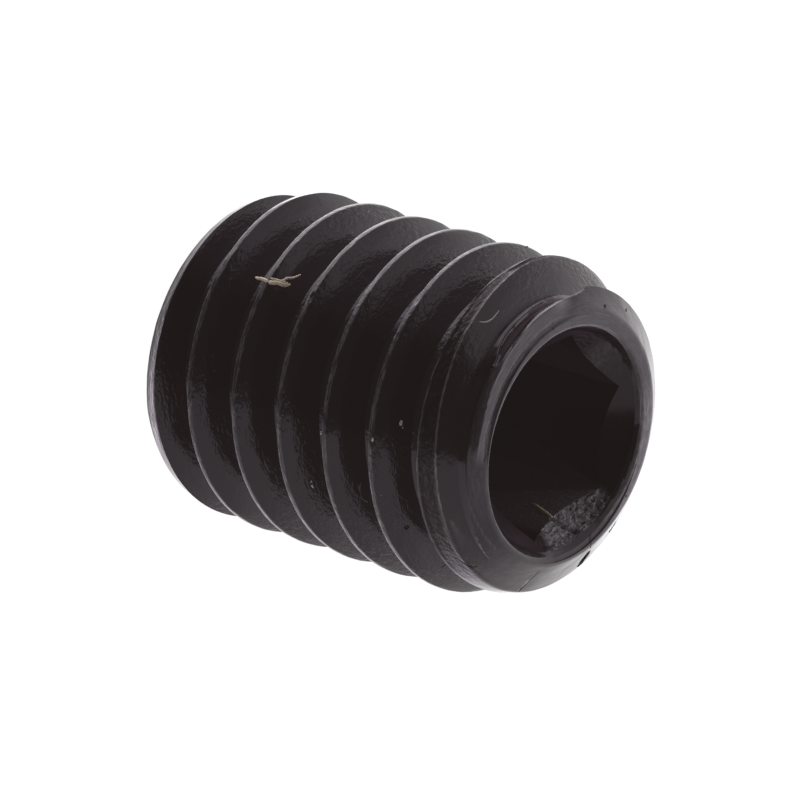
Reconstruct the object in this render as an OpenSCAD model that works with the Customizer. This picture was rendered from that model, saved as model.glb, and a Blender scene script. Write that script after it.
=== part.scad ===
// Socket set screw (grub screw), M6 x 1, nominally 8 mm long, with a hexagon socket and a cup point.
// Frame: the screw stands on its cup point at z = 0, its axis is +Z, the socket opens upwards,
// and one corner of the hexagon points along +X.

/* [Thread] */
// Diameter over the rolled crests
thread_d = 5.79; // [5.4:0.01:6]
// Axial distance from one crest to the next (right-hand, single start)
pitch = 1; // [0.8:0.05:1.25]
// Axial width of the flat on a crest
crest_w = 0.09; // [0.04:0.01:0.2]
// Axial width of the flat at the root
root_w = 0.24; // [0.12:0.01:0.3]
// Angle of each flank from a plane square to the axis
flank_angle = 30; // [27:1:35]
// Angle round the axis at which a crest stands one pitch above the point
thread_turn = 97; // [0:1:359]

/* [Body] */
// Length from the cup rim to the socket face (a nominal 8 mm screw)
screw_len = 7.9; // [6:0.05:12]
// Outer diameter of the flat ring round the socket
face_d = 4.23; // [4.2:0.01:4.6]
// Radius that rounds the outer edge of the flat ring
face_edge_r = 0.2; // [0.05:0.01:0.3]
// Angle of the chamfer behind the flat ring, from the axis
face_chamfer = 54; // [40:1:58]
// How far below the crests the face chamfer meets the lead taper
face_lead_drop = 0.205; // [0.05:0.005:0.35]
// Axial length of the lead taper that cuts the last crests at the socket end
face_lead_len = 0.78; // [0.3:0.01:1.5]
// How far the turned socket end runs out from the thread axis
face_runout = 0.1; // [0:0.005:0.15]
// Direction of that run-out round the axis
face_runout_turn = 10; // [0:1:359]

/* [Socket] */
// Width across the flats of the hexagon
hex_af = 3; // [2.5:0.01:3.2]
// Depth of the full hexagon below the socket face
hex_depth = 3.5; // [2:0.1:4.5]
// Included angle of the drill point below the hexagon
drill_angle = 120; // [100:5:140]
// Diameter of the mouth at the socket face
mouth_d = 3.88; // [3.75:0.01:4]
// Radius that rounds the lip of the mouth
lip_r = 0.06; // [0.02:0.01:0.1]
// Radial width of the steep rim of the mouth
mouth_rim_w = 0.09; // [0.03:0.01:0.14]
// Depth of the steep rim of the mouth
mouth_depth = 0.2; // [0.05:0.01:0.6]
// Included angle of the countersink that leads into the hexagon
countersink_angle = 101; // [90:1:130]

/* [Point] */
// Diameter of the sharp rim of the cup
cup_d = 2.76; // [2.6:0.01:3.2]
// Width of the narrow flat that the cup rim stands on
rim_w = 0.06; // [0.03:0.01:0.15]
// Included angle of the hollow of the cup
cup_angle = 120; // [100:5:140]
// Angle of the point chamfer from the axis
point_chamfer = 50; // [42:0.5:55]
// How far below the crests the point chamfer meets the lead taper
point_lead_drop = 0.19; // [0.05:0.005:0.4]
// Axial length of the lead taper that cuts the first crests at the point end
point_lead_len = 0.74; // [0.3:0.01:1.5]
// How far the turned point runs out from the thread axis
point_runout = 0.065; // [0:0.005:0.15]
// Direction of that run-out round the axis
point_runout_turn = 217; // [0:1:359]

/* [Hidden] */

// Facets in one turn of the thread
turn_steps = 60;
// Facets in a rounded edge
edge_steps = 4;
$fn = 120;
// Overrun of a cut past the face that it opens
over = 0.5;
// Clearance of the turned blank outside the crests
blank_clear = 0.2;

crest_r = thread_d / 2;
thread_depth = (pitch - crest_w - root_w) / 2 / tan(flank_angle);
root_r = crest_r - thread_depth;
// The root is a shallow trough, as rolling leaves it
root_fall = root_w / 6;

// One pitch of the thread form: [height above the crest line, radius]
thread_form = [
    [-crest_w / 2, crest_r],
    [crest_w / 2, crest_r],
    [pitch / 2 - root_w / 2, root_r],
    [pitch / 2, root_r - root_fall],
    [pitch / 2 + root_w / 2, root_r],
];
form_n = len(thread_form);

// The ridge starts below the point and ends above the socket face, so that both ends are cut
ridge_turns = ceil(screw_len / pitch) + 2;
ridge_steps = ridge_turns * turn_steps;
ridge_z = -2 * pitch;

face_r = face_d / 2;
face_lead_r = crest_r - face_lead_drop;
face_chamfer_h = (face_lead_r - face_r) / tan(face_chamfer);
cup_r = cup_d / 2;
rim_r = cup_r + rim_w;
point_lead_r = crest_r - point_lead_drop;
point_chamfer_h = (point_lead_r - rim_r) / tan(point_chamfer);
cup_h = cup_r / tan(cup_angle / 2);
// The lead tapers carry on until they clear the crests on every side
blank_r = crest_r + blank_clear;
face_taper_h = face_lead_len * (blank_r - face_lead_r) / face_lead_drop;
point_taper_h = point_lead_len * (blank_r - point_lead_r) / point_lead_drop;

mouth_foot_r = mouth_d / 2 - mouth_rim_w;
countersink_h = mouth_foot_r / tan(countersink_angle / 2);
hex_corner_r = hex_af / 2 / cos(30);
drill_h = hex_af / 2 / tan(drill_angle / 2);

// Corner b between a and c as an arc of radius r that touches both sides
function rounded(a, b, c, r) =
    let (
        to_a = (a - b) / norm(a - b),
        to_c = (c - b) / norm(c - b),
        half = acos(to_a * to_c) / 2,
        middle = b + (to_a + to_c) / norm(to_a + to_c) * r / sin(half),
        start = b + to_a * r / tan(half) - middle,
        end = b + to_c * r / tan(half) - middle,
        sweep = sign(cross(start, end)) * (180 - 2 * half)
    )
    [
        for (i = [0:edge_steps])
            let (turn = sweep * i / edge_steps)
            middle + [
                start.x * cos(turn) - start.y * sin(turn),
                start.x * sin(turn) + start.y * cos(turn)
            ]
    ];

// Point on the ridge: step i round the helix, point j of the thread form
function ridge_point(i, j) =
    let (
        turn = thread_turn + i * 360 / turn_steps,
        r = thread_form[j][1],
        z = ridge_z + pitch * i / turn_steps + thread_form[j][0]
    )
    [r * cos(turn), r * sin(turn), z];

// Index of that point; the last point of a form is the first point one turn higher
function ridge_index(i, j) = j == form_n ? (i + turn_steps) * form_n : i * form_n + j;

// Solid core with the helical ridge, longer than the screw at both ends
module ridge() {
    last = ridge_steps + turn_steps;
    points = concat(
        [for (i = [0:last]) for (j = [0:form_n - 1]) ridge_point(i, j)],
        [[0, 0, ridge_z - crest_w / 2], [0, 0, ridge_z + pitch * (ridge_turns + 1)]]
    );
    foot = (last + 1) * form_n;
    top = foot + 1;
    skin = [
        for (i = [0:ridge_steps - 1]) for (j = [0:form_n - 1]) for (half = [0, 1])
            half == 0
                ? [ridge_index(i, j), ridge_index(i, j + 1), ridge_index(i + 1, j + 1)]
                : [ridge_index(i, j), ridge_index(i + 1, j + 1), ridge_index(i + 1, j)]
    ];
    foot_fan = [for (i = [0:turn_steps - 1]) [foot, ridge_index(i, 0), ridge_index(i + 1, 0)]];
    foot_step = [for (j = [0:form_n - 1]) [foot, ridge_index(0, j + 1), ridge_index(0, j)]];
    top_fan = [
        for (i = [ridge_steps:last - 1]) [top, ridge_index(i + 1, 0), ridge_index(i, 0)]
    ];
    top_step = [
        for (j = [0:form_n - 1])
            [top, ridge_index(ridge_steps, j), ridge_index(ridge_steps, j + 1)]
    ];
    polyhedron(points, concat(skin, foot_fan, foot_step, top_fan, top_step), convexity = 10);
}

// Moves what follows off the thread axis
module run_out(distance, turn) {
    translate([distance * cos(turn), distance * sin(turn), 0]) children();
}

// Cup, point chamfer and lead taper, turned in one setting
module point_end() {
    run_out(point_runout, point_runout_turn)
        rotate_extrude()
            polygon([
                [0, cup_h],
                [cup_r, 0],
                [rim_r, 0],
                [point_lead_r, point_chamfer_h],
                [blank_r, point_chamfer_h + point_taper_h],
                [blank_r, screw_len + over],
                [0, screw_len + over],
            ]);
}

// Flat face, face chamfer and lead taper, turned in a second setting
module face_end() {
    face_lead = [face_lead_r, screw_len - face_chamfer_h];
    run_out(face_runout, face_runout_turn)
        rotate_extrude()
            polygon(concat(
                [
                    [0, -over],
                    [blank_r, -over],
                    [blank_r, screw_len - face_chamfer_h - face_taper_h],
                    face_lead,
                ],
                rounded(face_lead, [face_r, screw_len], [0, screw_len], face_edge_r),
                [[0, screw_len]]
            ));
}

// Hexagon recess with its drill point
module hex_recess() {
    translate([0, 0, screw_len - hex_depth])
        cylinder(r = hex_corner_r, h = hex_depth + over, $fn = 6);
    translate([0, 0, screw_len - hex_depth - drill_h])
        cylinder(r1 = 0, r2 = hex_af / 2, h = drill_h);
}

// Rounded lip, steep rim and countersink that lead a key into the hexagon
module mouth() {
    foot = [mouth_foot_r, screw_len - mouth_depth];
    lip = rounded(foot, [mouth_d / 2, screw_len], [blank_r, screw_len], lip_r);
    rotate_extrude()
        polygon(concat(
            [[0, screw_len - mouth_depth - countersink_h], foot],
            lip,
            [[lip[edge_steps].x, screw_len + over], [0, screw_len + over]]
        ));
}

module set_screw() {
    color("#2e2628")
        difference() {
            intersection() {
                ridge();
                point_end();
                face_end();
            }
            hex_recess();
            mouth();
        }
}

set_screw();
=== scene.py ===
"""A black oxide grub set screw, dressed around its packed solid, with a stage and a camera.

The frame is the solid's own: the screw stands on its cup point at z = 0, its axis is +Z, the
socket opens upwards and a corner of the hexagon points along +X. Pieces are modelled in
millimetres, where Blender's merge and Boolean tools have room to work, and brought to their real
size when they are finished. Places on the screw are given as (angle, radius, height): degrees
round the axis from +X, then millimetres.
"""

import math

import bpy
from mathutils import Matrix, Vector, noise


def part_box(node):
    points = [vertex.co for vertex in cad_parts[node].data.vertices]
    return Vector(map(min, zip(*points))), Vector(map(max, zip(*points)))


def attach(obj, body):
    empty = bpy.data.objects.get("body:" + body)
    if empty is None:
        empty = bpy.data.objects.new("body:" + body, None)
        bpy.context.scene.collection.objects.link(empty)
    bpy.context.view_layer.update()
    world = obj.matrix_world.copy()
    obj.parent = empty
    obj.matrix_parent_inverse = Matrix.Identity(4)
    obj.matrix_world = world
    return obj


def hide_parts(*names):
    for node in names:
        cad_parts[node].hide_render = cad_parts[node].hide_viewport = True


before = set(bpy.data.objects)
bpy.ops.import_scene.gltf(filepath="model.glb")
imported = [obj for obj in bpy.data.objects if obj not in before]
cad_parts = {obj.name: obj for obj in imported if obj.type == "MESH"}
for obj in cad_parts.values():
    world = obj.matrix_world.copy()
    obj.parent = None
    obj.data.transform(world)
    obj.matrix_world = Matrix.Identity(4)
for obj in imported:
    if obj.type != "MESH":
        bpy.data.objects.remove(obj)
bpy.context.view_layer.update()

bl_info = {
    "name": "Grub Set Screw",
    "version": (1, 0, 0),
    "blender": (4, 5, 0),
    "location": "View3D > Sidebar > Set Screw",
    "description": "Models a hexagon socket set screw with its thread, socket, wear and lint",
    "category": "Add Mesh",
}

MM = 0.001
NODE = "set_screw"
LOW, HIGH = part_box(NODE)
SCREW_LENGTH = HIGH.z - LOW.z
TURN = 2 * math.pi
# In millimetres: vertices closer than this are merged, blanks clear the crests by CLEARANCE and
# run past the screw by OVERRUN
MERGE_DISTANCE = 0.0005
CLEARANCE = 0.2
OVERRUN = 1.0


# ---------------------------------------- settings


def length_setting(name, description, millimetres):
    return bpy.props.FloatProperty(
        name=name, description=description, default=millimetres * MM, unit="LENGTH", precision=5
    )


def angle_setting(name, description, degrees):
    return bpy.props.FloatProperty(
        name=name, description=description, default=math.radians(degrees), subtype="ANGLE"
    )


def number_setting(name, description, default):
    return bpy.props.FloatProperty(name=name, description=description, default=default, min=0.0)


def colour_setting(name, description, colour):
    return bpy.props.FloatVectorProperty(
        name=name, description=description, subtype="COLOR", default=colour, min=0.0, max=1.0
    )


class ThreadSettings(bpy.types.PropertyGroup):
    """Sizes of the rolled thread"""

    pitch: length_setting("Pitch", "Axial distance from one crest to the next", 1.0)
    crest_diameter: length_setting("Crest Diameter", "Diameter over the crests", 5.79)
    crest_width: length_setting("Crest Width", "Axial width of the rounded crest", 0.09)
    root_width: length_setting("Root Width", "Axial width of the rounded root", 0.24)
    flank_angle: angle_setting(
        "Flank Angle", "Angle of each flank from a plane square to the axis", 30
    )
    start_turn: angle_setting(
        "Start Turn", "Angle round the axis at which a crest stands one pitch above the point", 97
    )
    flank_bulge: length_setting(
        "Flank Bulge", "How far rolling has rounded the flanks towards the crest", 0.018
    )
    unevenness: length_setting(
        "Unevenness", "How far the rolled surface wanders from its true shape", 0.007
    )


class EndSettings(bpy.types.PropertyGroup):
    """Sizes of the turned point and the turned socket end"""

    cup_diameter: length_setting("Cup Diameter", "Diameter of the sharp rim of the cup", 2.76)
    point_chamfer: angle_setting("Point Chamfer", "Angle of the point chamfer from the axis", 50)
    point_lead_diameter: length_setting(
        "Point Lead Diameter", "Diameter at which the point chamfer meets its lead taper", 5.41
    )
    point_lead_length: length_setting(
        "Point Lead Length", "Axial length of the lead taper at the point", 0.74
    )
    point_runout: length_setting(
        "Point Run-out", "How far the turned point lies off the thread axis", 0.065
    )
    point_runout_turn: angle_setting(
        "Point Run-out Turn", "Direction of the point's run-out round the axis", 217
    )
    face_diameter: length_setting(
        "Face Diameter", "Diameter at which the socket face meets its chamfer", 4.23
    )
    face_edge_radius: length_setting(
        "Face Edge Radius", "Radius that rounds the outer edge of the socket face", 0.2
    )
    face_chamfer: angle_setting(
        "Face Chamfer", "Angle of the chamfer behind the socket face, from the axis", 54
    )
    face_lead_diameter: length_setting(
        "Face Lead Diameter", "Diameter at which the face chamfer meets its lead taper", 5.38
    )
    face_lead_length: length_setting(
        "Face Lead Length", "Axial length of the lead taper at the socket end", 0.78
    )
    face_runout: length_setting(
        "Face Run-out", "How far the turned socket end lies off the thread axis", 0.1
    )
    face_runout_turn: angle_setting(
        "Face Run-out Turn", "Direction of the socket end's run-out round the axis", 10
    )


class SocketSettings(bpy.types.PropertyGroup):
    """Sizes of the hexagon socket"""

    across_flats: length_setting("Across Flats", "Width of the hexagon across its flats", 3.0)
    depth: length_setting("Depth", "Depth of the full hexagon below the socket face", 3.5)
    mouth_diameter: length_setting(
        "Mouth Diameter", "Diameter of the mouth at the socket face", 3.88
    )
    mouth_foot_diameter: length_setting(
        "Mouth Foot Diameter", "Diameter at the foot of the mouth's steep rim", 3.7
    )
    mouth_depth: length_setting("Mouth Depth", "Depth of the mouth's steep rim", 0.2)
    countersink: angle_setting(
        "Countersink", "Included angle of the countersink that leads into the hexagon", 101
    )
    lip_radius: length_setting("Lip Radius", "Radius that rounds the mouth's lip", 0.09)


class WearSettings(bpy.types.PropertyGroup):
    """How strongly rolling and handling have marked the screw"""

    lip_height: length_setting(
        "Lip Height", "Height of the lips beside a crest that rolling has not filled", 0.012
    )
    hollow_depth: length_setting(
        "Hollow Depth", "Depth of the rough hollow between those lips", 0.014
    )
    pit_depth: length_setting("Pit Depth", "Depth of the pits torn in the countersink", 0.03)


class FinishSettings(bpy.types.PropertyGroup):
    """Colours of the screw, of the dirt on it and of its painted glow"""

    oxide: colour_setting(
        "Black Oxide", "Colour of the oiled black oxide", (0.0075, 0.0045, 0.0045)
    )
    # Painted glow: a faint emission of constant colour that keeps the deepest shadows brown; the
    # oil film itself does not glow
    painted_glow: colour_setting(
        "Haze", "Faint light that the oil film scatters from every side", (0.0120, 0.0086, 0.0088)
    )
    lint: colour_setting("Lint", "Colour of the cotton lint", (0.90, 0.74, 0.60))
    hair: colour_setting("Hair", "Colour of the fine pale hair", (0.42, 0.40, 0.39))
    fibre: colour_setting("Fibre", "Colour of the straw-coloured fibre", (0.90, 0.74, 0.52))
    speck: colour_setting("Speck", "Colour of the pale specks", (0.70, 0.62, 0.54))


class StageSettings(bpy.types.PropertyGroup):
    """The camera and the light"""

    azimuth: angle_setting(
        "Azimuth", "Direction of the camera round the screw's axis, from +X", 138.705
    )
    elevation: angle_setting(
        "Elevation", "Height of the camera above the floor, as an angle", 38.399
    )
    roll: angle_setting("Roll", "Turn of the camera about its own line of sight", -107.206)
    distance: length_setting("Distance", "Distance of the camera from where it aims", 95.945)
    aim: bpy.props.FloatVectorProperty(
        name="Aim",
        description="Point that the camera aims at, from the middle of the screw",
        default=(0.044 * MM, -0.227 * MM, 0.230 * MM),
        subtype="TRANSLATION",
        unit="LENGTH",
        precision=6,
    )
    lens: number_setting("Lens", "Focal length in millimetres on a 36 mm sensor", 259.075)
    surround: number_setting(
        "Surround", "Strength of the pale surroundings that light the screw", 0.72
    )
    backdrop: number_setting(
        "Backdrop", "How much stronger the surroundings are behind the screw", 0.65
    )
    shade_azimuth: angle_setting(
        "Shade Azimuth", "Direction of the middle of the unlit side of the studio", 173.7
    )
    shade_elevation: angle_setting(
        "Shade Elevation", "Height of the middle of the unlit side, as an angle", 14.4
    )
    card_azimuth: angle_setting(
        "Card Azimuth", "Direction of the white card that lights the lower left", 255.1
    )
    lamp: number_setting("Lamp", "Strength of the soft lamp over the screw", 1.5)
    lamp_azimuth: angle_setting("Lamp Azimuth", "Direction of the soft lamp", 65)
    lamp_elevation: angle_setting(
        "Lamp Elevation", "Height of the soft lamp, as an angle, on the screw that stands up", -30
    )


SETTINGS = {
    "screw_thread": ThreadSettings,
    "screw_ends": EndSettings,
    "screw_socket": SocketSettings,
    "screw_wear": WearSettings,
    "screw_finish": FinishSettings,
    "screw_stage": StageSettings,
}


# ---------------------------------------- places


def mm(length):
    """A setting's length in the millimetres that the pieces are modelled in."""
    return length / MM


def place(angle, radius, height):
    """A point on the screw from its angle in degrees, its radius and its height."""
    turn = math.radians(angle)
    return Vector((radius * math.cos(turn), radius * math.sin(turn), height))


def polar(point):
    """A point's angle round the axis in degrees, from 0 to 360, and its radius."""
    return math.degrees(math.atan2(point.y, point.x)) % 360, math.hypot(point.x, point.y)


def off_axis(distance, turn):
    """The axis of a turned end that lies off the thread axis, as (x, y)."""
    return (mm(distance) * math.cos(turn), mm(distance) * math.sin(turn))


def ramp(low, high, value):
    """0 below low, 1 above high, and a smooth rise between them."""
    t = min(1.0, max(0.0, (value - low) / (high - low)))
    return t * t * (3 - 2 * t)


def window(low, high, edge, value):
    """1 between low and high, falling to 0 over edge on both sides."""
    return ramp(low - edge, low, value) * (1 - ramp(high, high + edge, value))


def crest_place(point, thread):
    """Where a point lies on the thread: turns along the helix, and height above the crest line.

    The crest at the start turn, one pitch above the point, is at 0 turns.
    """
    pitch = mm(thread.pitch)
    angle = (math.atan2(point.y, point.x) - thread.start_turn) / TURN
    climb = point.z / pitch - 1 - angle
    turns = round(climb)
    return angle + turns, (climb - turns) * pitch


def crest_half_width(radius, thread):
    """Half the axial width of the thread's ridge at a radius."""
    fall = mm(thread.crest_diameter) / 2 - radius
    return mm(thread.crest_width) / 2 + fall * math.tan(thread.flank_angle)


# ---------------------------------------- modelling


def deselect():
    if bpy.context.object and bpy.context.object.mode != "OBJECT":
        bpy.ops.object.mode_set(mode="OBJECT")
    bpy.ops.object.select_all(action="DESELECT")


def activate(piece):
    deselect()
    bpy.context.view_layer.objects.active = piece
    piece.select_set(True)


def start_edit(piece):
    """Edit mode on one piece, with all of its mesh selected."""
    activate(piece)
    bpy.ops.object.mode_set(mode="EDIT")
    bpy.ops.mesh.select_all(action="SELECT")


def end_edit():
    bpy.ops.object.mode_set(mode="OBJECT")


def apply_modifier(piece, kind, **settings):
    """Adds a modifier to the active piece with its settings and applies it."""
    modifier = piece.modifiers.new(kind.title(), kind)
    for key, value in settings.items():
        setattr(modifier, key, value)
    bpy.ops.object.modifier_apply(modifier=modifier.name)


def draw_path(name, points):
    """A chain of edges, drawn point by point."""
    deselect()
    bpy.ops.mesh.primitive_plane_add(size=1)
    piece = bpy.context.object
    piece.name = name
    start_edit(piece)
    bpy.ops.mesh.select_mode(type="VERT")
    bpy.ops.mesh.merge(type="CENTER")
    at = Vector((0, 0, 0))
    for index, point in enumerate(points):
        step = Vector(point) - at
        if index == 0:
            bpy.ops.transform.translate(value=step)
        else:
            bpy.ops.mesh.extrude_region_move(TRANSFORM_OT_translate={"value": step})
        at += step
    end_edit()
    return piece


def tidy_shell():
    """In edit mode: merges doubles and turns every face outwards."""
    bpy.ops.mesh.select_all(action="SELECT")
    bpy.ops.mesh.remove_doubles(threshold=MERGE_DISTANCE)
    bpy.ops.mesh.normals_make_consistent(inside=False)


def turned(name, outline, centre=(0, 0), steps=240):
    """A solid of revolution of (radius, height) points about the vertical line at centre."""
    piece = draw_path(name, [(centre[0] + r, centre[1], z) for r, z in outline])
    start_edit(piece)
    bpy.ops.mesh.spin(steps=steps, angle=TURN, center=(*centre, 0), axis=(0, 0, 1))
    tidy_shell()
    end_edit()
    return piece


def between(start, end, spacing):
    """Points from start up to, but not at, end of an outline, no further apart than spacing."""
    a, b = Vector(start), Vector(end)
    steps = max(1, math.ceil((b - a).length / spacing))
    return [tuple(a + (b - a) * i / steps) for i in range(steps)]


def rounded(before, corner, after, radius, steps=5):
    """The corner of an outline as an arc that touches both of its sides."""
    c = Vector(corner)
    a = (Vector(before) - c).normalized()
    b = (Vector(after) - c).normalized()
    half = a.angle(b) / 2
    reach = radius / math.tan(half)
    middle = c + (a + b).normalized() * (radius / math.sin(half))
    start, end = c + a * reach - middle, c + b * reach - middle
    sweep = -start.angle_signed(end)
    points = []
    for i in range(steps + 1):
        turn = Matrix.Rotation(sweep * i / steps, 2)
        points.append(tuple(middle + turn @ start))
    return points


def push(piece, height):
    """Moves each point of a piece along its normal by height(point)."""
    normals = [vertex.normal.copy() for vertex in piece.data.vertices]
    for vertex, normal in zip(piece.data.vertices, normals):
        vertex.co += normal * height(vertex.co)


def combine(piece, other, operation):
    """Applies a Boolean of other to piece and removes other."""
    activate(piece)
    apply_modifier(piece, "BOOLEAN", operation=operation, solver="MANIFOLD", object=other)
    bpy.data.objects.remove(other, do_unlink=True)


def finish_piece(piece, material, smooth_angle=35):
    """Brings a piece to its real size with its place in its mesh, and hangs it on the frame."""
    activate(piece)
    bpy.ops.transform.resize(value=(MM, MM, MM), center_override=(0, 0, 0))
    bpy.ops.object.transform_apply(location=True, rotation=True, scale=True)
    bpy.ops.object.shade_smooth_by_angle(angle=math.radians(smooth_angle))
    piece.data.materials.clear()
    piece.data.materials.append(material)
    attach(piece, "root")


# ---------------------------------------- materials


def linear(hex_colour):
    """An sRGB hex colour as the linear colour that a shader takes."""
    out = []
    for i in (0, 2, 4):
        c = int(hex_colour[i : i + 2], 16) / 255
        out.append(c / 12.92 if c <= 0.04045 else ((c + 0.055) / 1.055) ** 2.4)
    return (*out, 1.0)


def new_material(name):
    material = bpy.data.materials.new(name)
    material.use_nodes = True
    material.node_tree.nodes.clear()
    return material


def add_node(owner, kind, settings=None, inputs=None):
    """Adds a node, with its own settings and with values or links for its inputs."""
    tree = owner.node_tree
    node = tree.nodes.new(kind)
    for key, value in (settings or {}).items():
        setattr(node, key, value)
    for key, value in (inputs or {}).items():
        if isinstance(value, bpy.types.NodeSocket):
            tree.links.new(value, node.inputs[key])
        else:
            node.inputs[key].default_value = value
    return node


def calculate(m, operation, *values):
    inputs = dict(enumerate(values))
    return add_node(m, "ShaderNodeMath", {"operation": operation}, inputs).outputs[0]


def times(m, a, b):
    return calculate(m, "MULTIPLY", a, b)


def vector_math(m, operation, *values):
    inputs = dict(enumerate(values))
    return add_node(m, "ShaderNodeVectorMath", {"operation": operation}, inputs).outputs


def stored(m, name):
    """An attribute that the mesh carries."""
    return add_node(m, "ShaderNodeAttribute", {"attribute_name": name}).outputs["Fac"]


def surface(m, shader):
    """Ends a material's nodes at a shader."""
    add_node(m, "ShaderNodeOutputMaterial", inputs={"Surface": shader.outputs[0]})


def soft_range(m, value, low, high, bottom=0.0, top=1.0):
    """Maps value from low..high to bottom..top with a soft start and end."""
    return add_node(
        m,
        "ShaderNodeMapRange",
        {"interpolation_type": "SMOOTHSTEP"},
        {"Value": value, "From Min": low, "From Max": high, "To Min": bottom, "To Max": top},
    ).outputs["Result"]


def cloud(m, where, size, detail, roughness=0.55):
    """Noise whose lumps are about size across, in millimetres."""
    inputs = {
        "Vector": where, "Scale": 1 / (size * MM), "Detail": detail, "Roughness": roughness
    }
    return add_node(m, "ShaderNodeTexNoise", inputs=inputs).outputs["Fac"]


def rolled_place(m, azimuth, pitch, stretch):
    """Object coordinates wound along the helix, so that patterns run along the thread.

    The join of the winding lies behind the screw, opposite azimuth. Lumps come out stretch
    times as long along the thread as across it.
    """
    here = add_node(m, "ShaderNodeTexCoord").outputs["Object"]
    facing = add_node(
        m, "ShaderNodeMapping", inputs={"Vector": here, "Rotation": (0, 0, -azimuth)}
    ).outputs["Vector"]
    x, y, z = add_node(m, "ShaderNodeSeparateXYZ", inputs={"Vector": facing}).outputs
    angle = calculate(m, "ARCTAN2", y, x)
    radius = calculate(m, "POWER", calculate(m, "ADD", times(m, x, x), times(m, y, y)), 0.5)
    # A flank's middle lies 2.6 mm from the axis
    along = times(m, angle, 2.6 * MM / stretch)
    climb = calculate(m, "SUBTRACT", z, times(m, angle, pitch / TURN))
    wound = add_node(m, "ShaderNodeCombineXYZ", inputs={0: along, 1: radius, 2: climb})
    return wound.outputs["Vector"], radius, z


def bump(m, height, distance, normal=None):
    """A bump of distance millimetres, laid over an earlier one's normal."""
    inputs = {"Height": height, "Strength": 1.0, "Distance": distance * MM}
    if normal:
        inputs["Normal"] = normal
    return add_node(m, "ShaderNodeBump", inputs=inputs).outputs["Normal"]


def black_oxide_material(finish, thread, stage):
    """Oiled black oxide on rolled steel: a brown-black conversion coat under a thin oil film.

    The film gives a clear reflection with crisp edges, the rolled flanks carry fields of fine
    pits that break those edges up, and crests and lips are rubbed to a thin grey line. The
    countersink, the fold, the valley and the land of the unfilled crest carry painted shade,
    and a faint painted glow keeps the deepest shadows brown.
    """
    m = new_material("oiled_black_oxide_steel")
    wound, radius, height = rolled_place(m, stage.azimuth, thread.pitch, 2.0)
    drawn_out = rolled_place(m, stage.azimuth, thread.pitch, 7.0)[0]

    # Pits of 0.06 mm in fields about half a millimetre across, and a faint grain everywhere
    field = soft_range(m, cloud(m, wound, 0.6, 2.0), 0.42, 0.62, 0.16, 1.0)
    pits = soft_range(m, cloud(m, wound, 0.06, 1.5, 0.5), 0.40, 0.62)
    pitted = times(m, pits, field)
    grain = cloud(m, wound, 0.03, 1.0)
    soft = cloud(m, wound, 0.35, 2.0)
    # The turned socket end is nearly free of pits
    even = soft_range(m, height, SCREW_LENGTH - 0.6 * MM, SCREW_LENGTH - 0.4 * MM, 1.0, 0.2)
    # Torn metal is gritty, and bare on the grit's tips where it is roughest
    rough = stored(m, "rough")
    grit = cloud(m, wound, 0.05, 2.0, 0.6)
    torn = times(m, grit, rough)
    bare = soft_range(m, rough, 0.75, 1.0, 0.0, 0.5)
    gleam = times(m, soft_range(m, grit, 0.5, 0.66), bare)
    normal = bump(m, soft, 0.012)
    normal = bump(m, times(m, pitted, even), 0.0034, normal)
    normal = bump(m, torn, 0.02, normal)
    normal = bump(m, grain, 0.0012, normal)

    # Rubbed crests: the coat thins within a few hundredths of a millimetre of the outside, in
    # fine streaks along the thread with brighter spots in them
    outside = thread.crest_diameter / 2
    ragged = times(m, cloud(m, wound, 0.09, 2.0), 0.03 * MM)
    reach = calculate(m, "ADD", radius, ragged)
    crest = soft_range(m, reach, outside - 0.004 * MM, outside + 0.022 * MM)
    streaks = soft_range(m, cloud(m, drawn_out, 0.028, 2.0, 0.6), 0.38, 0.66, 0.03, 0.34)
    spots = soft_range(m, cloud(m, drawn_out, 0.05, 2.0, 0.6), 0.6, 0.75, 0.0, 0.5)
    crest = times(m, crest, calculate(m, "ADD", streaks, spots))
    patchy = soft_range(m, cloud(m, drawn_out, 0.035, 2.0, 0.6), 0.35, 0.65, 0.6, 1.35)
    # The wear attribute also carries the ring's painted sheen and painted shade and the lead
    # taper's raised reflectance
    rubbed = calculate(m, "MAXIMUM", crest, times(m, stored(m, "wear"), patchy))
    rubbed = calculate(m, "MAXIMUM", rubbed, gleam)
    colour = add_node(
        m,
        "ShaderNodeMix",
        {"data_type": "RGBA"},
        {0: rubbed, 6: (*finish.oxide, 1.0), 7: linear("b4aeb4")},
    )
    # Painted shade: the countersink, the fold, the valley inside the ring and the land of the
    # unfilled crest get a dark, rougher surface of low reflectance that stands in for shade there
    painted_shade = stored(m, "painted_shade")
    film = soft_range(m, field, 0.2, 1.0, 0.11, 0.2)
    roughness = calculate(m, "MAXIMUM", film, times(m, painted_shade, 0.4))
    shader = add_node(
        m,
        "ShaderNodeBsdfPrincipled",
        inputs={
            "Base Color": colour.outputs[2],
            "Metallic": calculate(m, "MAXIMUM", rubbed, painted_shade),
            "Roughness": roughness,
            "IOR": 1.5,
            "Specular Tint": (0.97, 0.87, 1.0, 1.0),
            # Painted glow: the faint constant emission lifts the deepest shadows to brown
            "Emission Color": (*finish.painted_glow, 1.0),
            "Emission Strength": 1.0,
            "Normal": normal,
        },
    )
    surface(m, shader)
    return m


def fibre_material(name, colour):
    """A plain cotton or plant fibre, or dried dirt: matt and pale."""
    m = new_material(name)
    shader = add_node(
        m,
        "ShaderNodeBsdfPrincipled",
        inputs={"Base Color": (*colour, 1.0), "Roughness": 0.85, "IOR": 1.45},
    )
    surface(m, shader)
    return m


# ---------------------------------------- the screw


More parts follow.
